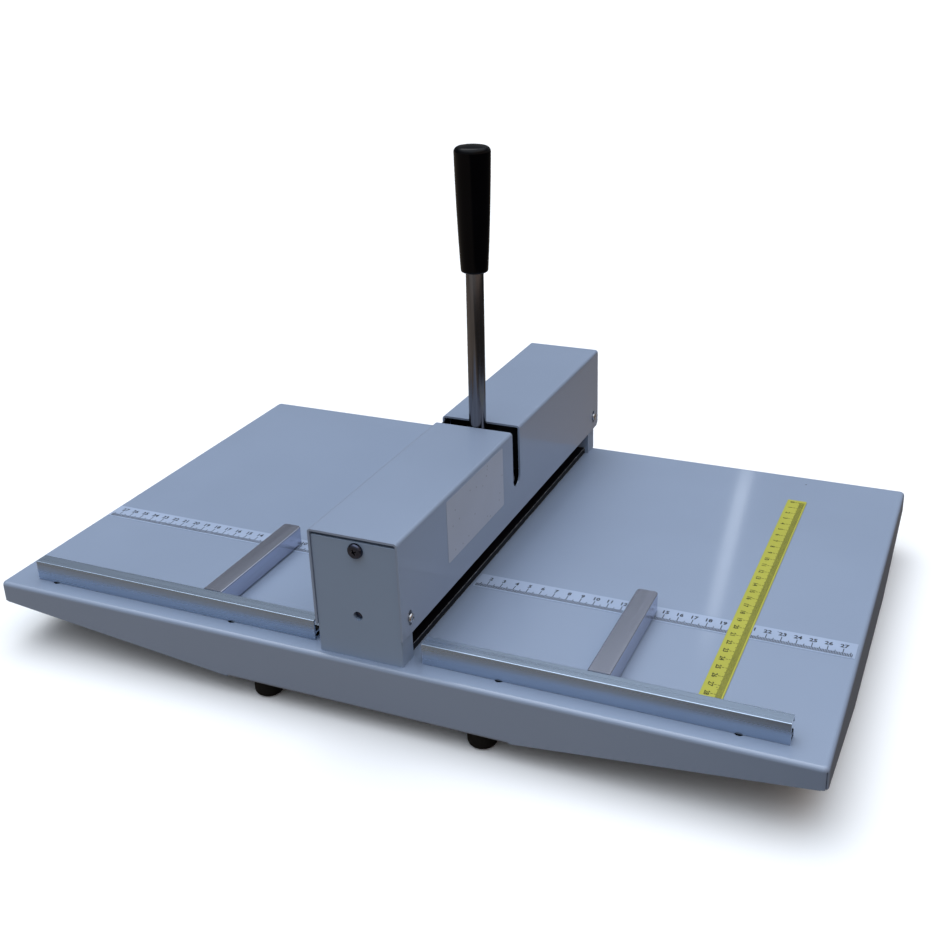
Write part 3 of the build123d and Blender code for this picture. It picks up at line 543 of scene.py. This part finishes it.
def gapOfLight(tree, place, height, gap):
    # an upright gap of light behind the table, seen in its varnish
    aside = mathNode(tree, "SUBTRACT", dotNode(tree, place, gap["across"]), gap["middle"])
    narrow = mathNode(tree, "LESS_THAN", mathNode(tree, "ABSOLUTE", aside), gap["width"])
    behind = mathNode(tree, "GREATER_THAN", dotNode(tree, place, (0.0, 1.0, 0.0)), 0.0)
    lowest, fullFrom, fullTo, highest = gap["rise"]
    rising = mathNode(tree, "MULTIPLY", rampNode(tree, height, lowest, fullFrom), gap["strength"])
    falling = mathNode(tree, "SUBTRACT", 1.0, rampNode(tree, height, fullTo, highest))
    shown = mathNode(tree, "MULTIPLY", mathNode(tree, "MULTIPLY", narrow, behind), falling)
    return mathNode(tree, "MULTIPLY", shown, rising)


def makeSky(plan):
    # a soft box overhead and dimmer windows, in a room that is darker and warmer low down
    world = bpy.data.worlds.new("studio")
    bpy.context.scene.world = world
    world.use_nodes = True
    tree = world.node_tree
    place = tree.nodes.new("ShaderNodeTexCoord").outputs["Generated"]
    height = dotNode(tree, place, (0.0, 0.0, 1.0))
    total = plan["horizon"]
    shares = {}
    for name, lamp in plan["lamps"].items():
        facing = dotNode(tree, place, Vector(lamp["facing"]).normalized())
        shares[name] = rampNode(tree, facing, lamp["from"], lamp["to"])
        total = mathNode(tree, "ADD", mathNode(tree, "MULTIPLY", shares[name], lamp["strength"]), total)
    total = mathNode(tree, "ADD", gapOfLight(tree, place, height, plan["gap"]), total)
    raised = rampNode(tree, height, 0.0, plan["highFrom"])
    colour = mixNode(tree, raised, plan["lowColour"], plan["highColour"])
    colour = mixNode(tree, shares["side"], colour, plan["sideColour"])
    background = tree.nodes["Background"]
    tree.links.new(total, background.inputs["Strength"])
    tree.links.new(colour, background.inputs["Color"])


# a wide, dim sun high over the table, a little behind it and to its left; the angle, in degrees, is
# how wide it looks
sunPlan = {"from": (-0.35, 0.35, 1.0), "angle": 40.0, "strength": 0.55, "colour": (1.0, 0.98, 0.95)}


def makeSun(plan):
    sun = addObject("softSun", bpy.data.lights.new("softSun", "SUN"))
    sun.data.energy = plan["strength"]
    sun.data.angle = math.radians(plan["angle"])
    sun.data.color = plan["colour"]
    sun.rotation_euler = (-Vector(plan["from"])).to_track_quat("-Z", "Y").to_euler()


makeCamera(cameraPlan)
makeFloor(floorPlan)
makeSky(skyPlan)
makeSun(sunPlan)
bpy.context.scene.view_settings.view_transform = "Standard"
print("stage: camera, floor and light")


def pieceFrom(bm, name, finishName, body, smoothAngle=40.0):
    # edges that bend by more than the angle, in degrees, stay sharp
    for face in bm.faces:
        face.smooth = smoothAngle > 0
    for edge in bm.edges:
        edge.smooth = edge.calc_face_angle(0.0) < math.radians(smoothAngle)
    piece = addObject(name, meshFrom(bm, name))
    piece.data.materials.append(finishes[finishName])
    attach(piece, body)
    return piece


def chain(places):
    # corners at these places, in metres, joined one after another by edges
    bm = bmesh.new()
    corners = [bm.verts.new(place) for place in places]
    for first, second in zip(corners, corners[1:]):
        bm.edges.new((first, second))
    return bm, corners


def profile(points):
    # an outline of (radius, height) points in millimetres
    return chain([(radius * mm, 0.0, height * mm) for radius, height in points])


def roundCorner(bm, corner, width, segments):
    bmesh.ops.bevel(
        bm, geom=[corner], offset=width * mm, affect="VERTICES", segments=segments, profile=0.5, material=-1
    )


def roundEdges(bm, edges, width, segments):
    bmesh.ops.bevel(
        bm, geom=edges, offset=width * mm, affect="EDGES", segments=segments, profile=0.5, material=-1
    )


def turn(bm, steps):
    # spins the outline round Z into a closed shape
    whole = bm.verts[:] + bm.edges[:]
    bmesh.ops.spin(
        bm, geom=whole, cent=(0, 0, 0), axis=(0, 0, 1), angle=2 * math.pi, steps=steps, use_merge=True
    )
    bmesh.ops.remove_doubles(bm, verts=bm.verts, dist=0.001 * mm)
    bmesh.ops.recalc_face_normals(bm, faces=bm.faces)


def addBox(bm, low, high):
    made = bmesh.ops.create_cube(bm, size=1.0)
    bmesh.ops.scale(bm, verts=made["verts"], vec=Vector(high) - Vector(low))
    bmesh.ops.translate(bm, verts=made["verts"], vec=(Vector(high) + Vector(low)) / 2)
    return made["verts"]


def joinInto(bm, part):
    # moves the shape in part into bm
    mesh = meshFrom(part, "part")
    bm.from_mesh(mesh)
    bpy.data.meshes.remove(mesh)


# millimetres; corners closer than weld are joined, and edges that bend by up to bend, in degrees,
# shade smoothly
sheetPlan = {"weld": 0.002, "sliver": 0.001, "bend": 32.0, "railWall": 1.5}


def paintShadeInside(bm, nodeName, wall):
    # gives the second material, a near-black painted shade, to faces at least about a wall's thickness
    # inside a channel
    low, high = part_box(nodeName)
    bm.normal_update()
    for face in bm.faces:
        middle = face.calc_center_median()
        depth = min(middle.y - low.y, high.y - middle.y, middle.z - low.z, high.z - middle.z)
        isEnd = abs(face.normal.x) >= 0.5
        face.material_index = 1 if depth > 0.9 * wall * mm and not isEnd else 0


def smoothed(nodeName, pieceName, finishName, body, wall=None):
    # a copy of the CAD mesh with its triangles joined, so that bends and round edges shade smoothly;
    # wall is the thickness of a channel whose inside gets a dull, near-black painted shade
    bm = bmesh.new()
    bm.from_mesh(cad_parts[nodeName].data)
    bmesh.ops.remove_doubles(bm, verts=bm.verts, dist=sheetPlan["weld"] * mm)
    bmesh.ops.dissolve_degenerate(bm, edges=bm.edges, dist=sheetPlan["sliver"] * mm)
    if wall:
        paintShadeInside(bm, nodeName, wall)
    piece = pieceFrom(bm, pieceName, finishName, body, smoothAngle=sheetPlan["bend"])
    if wall:
        piece.data.materials.append(finishes["railInsideShade"])
    weighted = piece.modifiers.new("keepFlatsFlat", "WEIGHTED_NORMAL")
    weighted.keep_sharp = True
    weighted.weight = 100
    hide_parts(nodeName)
    return piece


smoothed("table_tray", "tableTray", "enamel", "frame")
smoothed("housing_cover", "housingCover", "enamel", "frame")
smoothed("rail_left", "railLeft", "railMetal", "frame", sheetPlan["railWall"])
smoothed("rail_right", "railRight", "railMetal", "frame", sheetPlan["railWall"])
smoothed("stop_bar_left", "stopBarLeft", "stopMetal", "left_stop")
smoothed("stop_bar_right", "stopBarRight", "stopMetal", "right_stop")
print("stage: sheet metal, rails and stops")


def makeSpring(end):
    # a smoothed copy of the spring, with a mesh of its own
    nodeName = "return_spring_" + end
    spring = smoothed(nodeName, "returnSpring" + end.title(), "zinc", "frame")
    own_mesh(spring)


makeSpring("front")
makeSpring("rear")
print("stage: springs")


# millimetres, with the lean in degrees; heights are above the table's top, before the lean
leverPlan = {
    "lean": 0.9,
    "rodRadius": 6.5,
    "rodFoot": 46.0,
    "rodChamfer": 0.6,
    "rodSteps": 72,
    "gripRise": 209.2,
    "gripLength": 90.8,
    "baseRadius": 9.9,
    "topRadius": 13.1,
    "swell": 0.9,
    "swellShare": 0.4,
    "socket": 6.6,
    "socketDepth": 8.0,
    "baseRounding": 1.5,
    "rimRounding": 3.2,
    "dome": 2.0,
    "gripSteps": 96,
}


def onLever(bm, rise):
    # puts a shape made at the origin on the lever's leaning axis
    lean = Matrix.Rotation(math.radians(leverPlan["lean"]), 4, "Y")
    seat = Matrix.Translation((0.0, leverY, shaftZ)) @ lean
    up = Matrix.Translation((0.0, 0.0, tableTop + rise * mm - shaftZ))
    bmesh.ops.transform(bm, matrix=seat @ up, verts=bm.verts)


def makeGrip(plan):
    # a taper that swells in the middle, with a domed top and a socket for the rod
    length = plan["gripLength"]
    middleRadius = (plan["baseRadius"] + plan["topRadius"]) / 2 + plan["swell"]
    outline = [
        (0.0, plan["socketDepth"]),
        (plan["socket"], plan["socketDepth"]),
        (plan["socket"], 0.0),
        (plan["baseRadius"], 0.0),
        (middleRadius, length / 2),
        (plan["topRadius"], length - plan["dome"]),
        (0.0, length),
    ]
    bm, corners = profile(outline)
    roundCorner(bm, corners[5], plan["rimRounding"], 8)
    roundCorner(bm, corners[4], length * plan["swellShare"], 10)
    roundCorner(bm, corners[3], plan["baseRounding"], 4)
    turn(bm, plan["gripSteps"])
    onLever(bm, plan["gripRise"])
    piece = pieceFrom(bm, "leverGrip", "gripPlastic", "lever")
    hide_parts("lever_grip")


def makeRod(plan):
    length = plan["gripRise"] + plan["socketDepth"] - plan["rodFoot"]
    radius = plan["rodRadius"]
    bm, corners = profile([(0.0, 0.0), (radius, 0.0), (radius, length), (0.0, length)])
    for corner in corners[1:3]:
        roundCorner(bm, corner, plan["rodChamfer"], 2)
    turn(bm, plan["rodSteps"])
    onLever(bm, plan["rodFoot"])
    piece = pieceFrom(bm, "leverRod", "rodMetal", "lever")
    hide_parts("lever_rod")


makeGrip(leverPlan)
makeRod(leverPlan)
print("stage: lever")


# millimetres; the hole is the one that the foot's screw sits in
footPlan = {"rounding": 4.2, "hole": 4.2, "holeDepth": 4.5, "mouthRounding": 0.8, "steps": 48}


def makeFoot(nodeName, pieceName, plan):
    low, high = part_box(nodeName)
    height = (high.z - low.z) / mm
    radius = (high.x - low.x) / 2 / mm
    outline = [(0.0, plan["holeDepth"]), (plan["hole"], plan["holeDepth"]), (plan["hole"], 0.0)]
    outline += [(radius, 0.0), (radius, height), (0.0, height)]
    bm, corners = profile(outline)
    roundCorner(bm, corners[3], plan["rounding"], 6)
    roundCorner(bm, corners[2], plan["mouthRounding"], 3)
    turn(bm, plan["steps"])
    bmesh.ops.translate(bm, verts=bm.verts, vec=((low.x + high.x) / 2, (low.y + high.y) / 2, low.z))
    piece = pieceFrom(bm, pieceName, "rubber", "frame")
    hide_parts(nodeName)


for row in ("front", "rear"):
    for hand in ("left", "right"):
        makeFoot(f"foot_{row}_{hand}", f"foot{row.title()}{hand.title()}", footPlan)
print("stage: feet")


# millimetres, with the turn in degrees; the recess is cut by a four-winged driver bit
blockScrewPlan = {
    "radius": 5.3, "height": 3.0, "dome": 2.3, "rim": 0.2, "shank": 3.0, "length": 20.0, "chamfer": 0.5,
    "wing": 2.7, "wingWidth": 1.15, "depth": 1.9, "turn": 24.0, "steps": 40,
}
coverScrewPlan = {
    "radius": 3.3, "height": 2.0, "dome": 1.5, "rim": 0.2, "shank": 2.0, "length": 8.0, "chamfer": 0.5,
    "wing": 1.9, "wingWidth": 0.85, "depth": 1.3, "turn": 12.0, "steps": 40,
}


def driverBit(plan):
    # two crossed bars that narrow towards the tip
    bm = bmesh.new()
    tipShare = (0.45, 0.7, 1.0)  # what is left of a bar's length and width at its tip
    above = 1.0  # how far the bars stand over the head
    tip = plan["height"] - plan["depth"]
    top = plan["height"] + above
    low = Vector((-plan["wing"], -plan["wingWidth"] / 2, tip)) * mm
    high = Vector((plan["wing"], plan["wingWidth"] / 2, top)) * mm
    for angle in (0, 90):
        corners = addBox(bm, low, high)
        lower = [corner for corner in corners if corner.co.z < (tip + top) / 2 * mm]
        bmesh.ops.scale(bm, verts=lower, vec=tipShare)
        across = Matrix.Rotation(math.radians(angle), 3, "Z")
        bmesh.ops.rotate(bm, verts=corners, cent=(0, 0, 0), matrix=across)
    return addObject("driverBit", meshFrom(bm, "driverBit"))


def screwMesh(plan):
    # a pan-head screw along +Z, the underside of its head at the origin
    outline = [(0.0, -plan["length"]), (plan["shank"], -plan["length"]), (plan["shank"], 0.0)]
    outline += [(plan["radius"], 0.0), (plan["radius"], plan["height"]), (0.0, plan["height"])]
    bm, corners = profile(outline)
    roundCorner(bm, corners[4], plan["dome"], 7)
    roundCorner(bm, corners[3], plan["rim"], 2)
    roundCorner(bm, corners[1], plan["chamfer"], 1)
    turn(bm, plan["steps"])
    screw = addObject("screw", meshFrom(bm, "screw"))
    bit = driverBit(plan)
    cut = screw.modifiers.new("recess", "BOOLEAN")
    cut.operation = "DIFFERENCE"
    cut.use_self = True
    cut.object = bit
    bpy.context.view_layer.update()
    finished = bpy.data.meshes.new_from_object(screw.evaluated_get(bpy.context.evaluated_depsgraph_get()))
    bpy.data.objects.remove(screw)
    bpy.data.objects.remove(bit)
    return finished


def screwPiece(pieceName, plan, finishName, seats, nodeName):
    # seats are (place of the head's underside, direction that the head faces, turn in degrees)
    screw = screwMesh(plan)
    bm = bmesh.new()
    for place, facing, turned in seats:
        before = set(bm.verts)
        bm.from_mesh(screw)
        fresh = [vert for vert in bm.verts if vert not in before]
        aim = Vector(facing).to_track_quat("Z", "Y").to_matrix().to_4x4()
        spun = Matrix.Rotation(math.radians(turned), 4, "Z")
        bmesh.ops.transform(bm, matrix=Matrix.Translation(place) @ aim @ spun, verts=fresh)
    bmesh.ops.recalc_face_normals(bm, faces=bm.faces)
    piece = pieceFrom(bm, pieceName, finishName, "frame")
    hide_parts(nodeName)


def makeBlockScrews(plan):
    low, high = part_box("cover_block_screws")
    x = (low.x + high.x) / 2
    z = (low.z + high.z) / 2
    head = plan["height"] * mm
    seats = [
        ((x, low.y + head, z), (0, -1, 0), plan["turn"]),
        ((x, high.y - head, z), (0, 1, 0), -plan["turn"]),
    ]
    screwPiece("coverBlockScrews", plan, "agedScrew", seats, "cover_block_screws")


def makeCoverScrews(plan):
    low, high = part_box("cover_screws")
    z = (low.z + high.z) / 2
    head = plan["height"] * mm
    reach = plan["radius"] * mm
    seats = []
    for y, turned in ((low.y + reach, plan["turn"]), (high.y - reach, 3 * plan["turn"])):
        seats.append(((high.x - head, y, z), (1, 0, 0), turned))
        seats.append(((low.x + head, y, z), (-1, 0, 0), -turned))
    screwPiece("coverScrews", plan, "zinc", seats, "cover_screws")


makeBlockScrews(blockScrewPlan)
makeCoverScrews(coverScrewPlan)


# millimetres and degrees; the plug in each end plate's oiling hole sits a little askew
plugPlan = {
    "radius": 2.7, "thickness": 2.0, "rounding": 0.4, "sunk": 1.7, "tilt": 10.0, "shift": 0.2, "steps": 36,
}


def makePlugs(plan):
    radius = plan["radius"]
    thickness = plan["thickness"]
    shift = plan["shift"] * mm
    bm = bmesh.new()
    for nodeName, side in (("end_plate_front", -1), ("end_plate_rear", 1)):
        low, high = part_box(nodeName)
        face = low.y if side < 0 else high.y
        plug, corners = profile([(0.0, -thickness), (radius, -thickness), (radius, 0.0), (0.0, 0.0)])
        roundCorner(plug, corners[2], plan["rounding"], 4)
        turn(plug, plan["steps"])
        tilt = Matrix.Rotation(math.radians(plan["tilt"]), 4, Vector((1.0, side, 0.0)))
        aim = Vector((0.0, side, 0.0)).to_track_quat("Z", "Y").to_matrix().to_4x4()
        place = Matrix.Translation((-shift, face - side * plan["sunk"] * mm, shaftZ + shift))
        bmesh.ops.transform(plug, matrix=place @ aim @ tilt, verts=plug.verts)
        joinInto(bm, plug)
    pieceFrom(bm, "platePlugs", "agedScrew", "frame")


makePlugs(plugPlan)
print("stage: screws and plugs")


# millimetres: y from the cover's front end, z above the table's top
stickerPlan = {
    "from": 70.5, "to": 166.5, "bottom": 40.0, "top": 86.0, "thickness": 0.15, "corner": 1.5, "lift": 0.02,
}


def makeSticker(plan):
    # a bare label on the cover's right side, its four corners rounded
    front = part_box("housing_cover")[0].y
    bm = bmesh.new()
    low = (coverSide + plan["lift"] * mm, front + plan["from"] * mm, tableTop + plan["bottom"] * mm)
    high = (coverSide + plan["thickness"] * mm, front + plan["to"] * mm, tableTop + plan["top"] * mm)
    addBox(bm, low, high)
    through = [edge for edge in bm.edges if abs(edge.verts[0].co.x - edge.verts[1].co.x) > plan["lift"] * mm]
    roundEdges(bm, through, plan["corner"], 5)
    pieceFrom(bm, "bareSticker", "stickerPaper", "frame", smoothAngle=0.0)


makeSticker(stickerPlan)


# millimetres, sheet being the cover's own thickness; a black rubber strip closes the left half of the
# lever's slot from inside: a dark sheet put there as painted shade, so that the slot looks black
slotShadeStripPlan = {"sheet": 1.5, "thickness": 1.0, "width": 30.0, "bottom": 36.0, "top": 86.0, "rounding": 0.3}


def makeSlotShadeStrip(plan):
    outer = -coverSide + plan["sheet"] * mm
    half = plan["width"] / 2 * mm
    low = (outer, leverY - half, tableTop + plan["bottom"] * mm)
    high = (outer + plan["thickness"] * mm, leverY + half, tableTop + plan["top"] * mm)
    bm = bmesh.new()
    addBox(bm, low, high)
    roundEdges(bm, bm.edges[:], plan["rounding"], 3)
    pieceFrom(bm, "slotShadeStrip", "rubber", "frame")


makeSlotShadeStrip(slotShadeStripPlan)


# millimetres; folded black curtains in the cover, before and behind the lever, keep its slot dark: dark
# sheets put there as painted shade
slotShadeCurtainPlan = {
    "away": 17.0, "flange": 9.0, "bottom": 50.0, "top": 88.05, "halfWidth": 29.5, "fold": 1.5,
    "thickness": 0.8,
}


def makeSlotShadeCurtains(plan):
    # each curtain is an L-shaped line, pulled across the cover and thickened
    left = -plan["halfWidth"] * mm
    bottom = tableTop + plan["bottom"] * mm
    top = tableTop + plan["top"] * mm
    bm = bmesh.new()
    for side in (-1, 1):
        near = leverY + side * plan["away"] * mm
        far = near + side * plan["flange"] * mm
        sheet, corners = chain([(left, near, bottom), (left, near, top), (left, far, top)])
        roundCorner(sheet, corners[1], plan["fold"], 4)
        pulled = bmesh.ops.extrude_edge_only(sheet, edges=sheet.edges[:])["geom"]
        moved = [part for part in pulled if isinstance(part, bmesh.types.BMVert)]
        bmesh.ops.translate(sheet, verts=moved, vec=(-2 * left, 0.0, 0.0))
        bmesh.ops.recalc_face_normals(sheet, faces=sheet.faces)
        joinInto(bm, sheet)
    piece = pieceFrom(bm, "slotShadeCurtains", "rubber", "frame")
    solid = piece.modifiers.new("thickness", "SOLIDIFY")
    solid.thickness = plan["thickness"] * mm
    solid.offset = 0.0


makeSlotShadeCurtains(slotShadeCurtainPlan)
print("stage: sticker, slot strip and curtains")


# capital is the share of the font's size that a figure fills; the ink stands this many millimetres
# above its tape
printPlan = {"capital": 0.72, "bolder": 0.03, "ink": 0.02}
figureMeshes = {}


def figureMesh(text):
    # flat figures in a font one metre high, with their middle at the origin
    if text not in figureMeshes:
        curve = bpy.data.curves.new("figure", "FONT")
        curve.body = text
        curve.resolution_u = 2
        curve.align_x = "CENTER"
        curve.align_y = "CENTER"
        curve.size = 1.0
        curve.offset = printPlan["bolder"]
        words = addObject("figure", curve)
        bpy.context.view_layer.update()
        figureMeshes[text] = bpy.data.meshes.new_from_object(words)
        bpy.data.objects.remove(words)
        bpy.data.curves.remove(curve)
    return figureMeshes[text]


def addFigure(bm, text, place, height, turned):
    before = set(bm.verts)
    bm.from_mesh(figureMesh(text))
    fresh = [vert for vert in bm.verts if vert not in before]
    bmesh.ops.scale(bm, verts=fresh, vec=(height / printPlan["capital"],) * 3)
    bmesh.ops.rotate(bm, verts=fresh, cent=(0, 0, 0), matrix=Matrix.Rotation(math.radians(turned), 3, "Z"))
    bmesh.ops.translate(bm, verts=fresh, vec=place)


def inkPiece(name, finishName, marks, figures, top):
    # marks are (left, right, front, back); figures are (text, x, y, height, turn)
    ink = printPlan["ink"] * mm
    bm = bmesh.new()
    for left, right, front, back in marks:
        addBox(bm, (left, front, top - ink), (right, back, top + ink))
    for text, x, y, height, turned in figures:
        addFigure(bm, text, (x, y, top + ink), height, turned)
    pieceFrom(bm, name, finishName, "frame", smoothAngle=0.0)


def tickLength(plan, number):
    if number % 10 == 0:
        return plan["longTick"] * mm
    if number % 5 == 0:
        return plan["middleTick"] * mm
    return plan["shortTick"] * mm


# millimetres; zero is how far the scale's zero, under the housing, lies to the side of the crease,
# and first is the number of the first tick
scalePlan = {
    "zero": 18.9, "first": 12, "end": 1.5, "border": 1.1, "shortTick": 4.8, "middleTick": 6.4,
    "longTick": 9.7, "tickWidth": 0.55, "figureHeight": 3.9, "figureMiddle": 12.6,
}


def makeScalePrint(plan, nodeName, pieceName, side):
    low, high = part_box(nodeName)
    reach = max(abs(low.x), abs(high.x)) - plan["end"] * mm
    half = plan["tickWidth"] * mm / 2
    marks = []
    figures = []
    number = plan["first"]
    while (plan["zero"] + number) * mm < reach:
        x = side * (plan["zero"] + number) * mm
        marks.append((x - half, x + half, low.y + plan["border"] * mm, low.y + tickLength(plan, number)))
        if number % 10 == 0:
            y = low.y + plan["figureMiddle"] * mm
            figures.append((str(number // 10), x, y, plan["figureHeight"] * mm, 0.0))
        number += 1
    inkPiece(pieceName, "blackInk", marks, figures, high.z)


# millimetres; the rule counts from its far end, and its figures are read from the left
rulePlan = {
    "zero": 4.0, "margin": 0.3, "figureMiddle": 4.1, "figureHeight": 3.4, "figureTurn": -90.0,
    "dotFrom": 6.5, "dotTo": 8.1, "tickTo": 14.0, "shortTick": 4.0, "middleTick": 4.7, "longTick": 5.2,
    "tickWidth": 0.5,
}


def makeRulePrint(plan):
    low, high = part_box("length_rule")
    zero = high.y - plan["zero"] * mm
    right = low.x + plan["tickTo"] * mm
    half = plan["tickWidth"] * mm / 2
    marks = []
    figures = []
    for number in range(int((zero - low.y) / mm - plan["margin"]) + 1):
        y = zero - number * mm
        marks.append((right - tickLength(plan, number), right, y - half, y + half))
        if number % 10 == 0:
            x = low.x + plan["figureMiddle"] * mm
            figures.append((str(number // 10), x, y, plan["figureHeight"] * mm, plan["figureTurn"]))
            marks.append((low.x + plan["dotFrom"] * mm, low.x + plan["dotTo"] * mm, y - half, y + half))
    inkPiece("rulePrint", "oliveInk", marks, figures, high.z)


makeScalePrint(scalePlan, "scale_right", "scalePrintRight", 1)
makeScalePrint(scalePlan, "scale_left", "scalePrintLeft", -1)
makeRulePrint(rulePlan)
print("stage: printed scales")
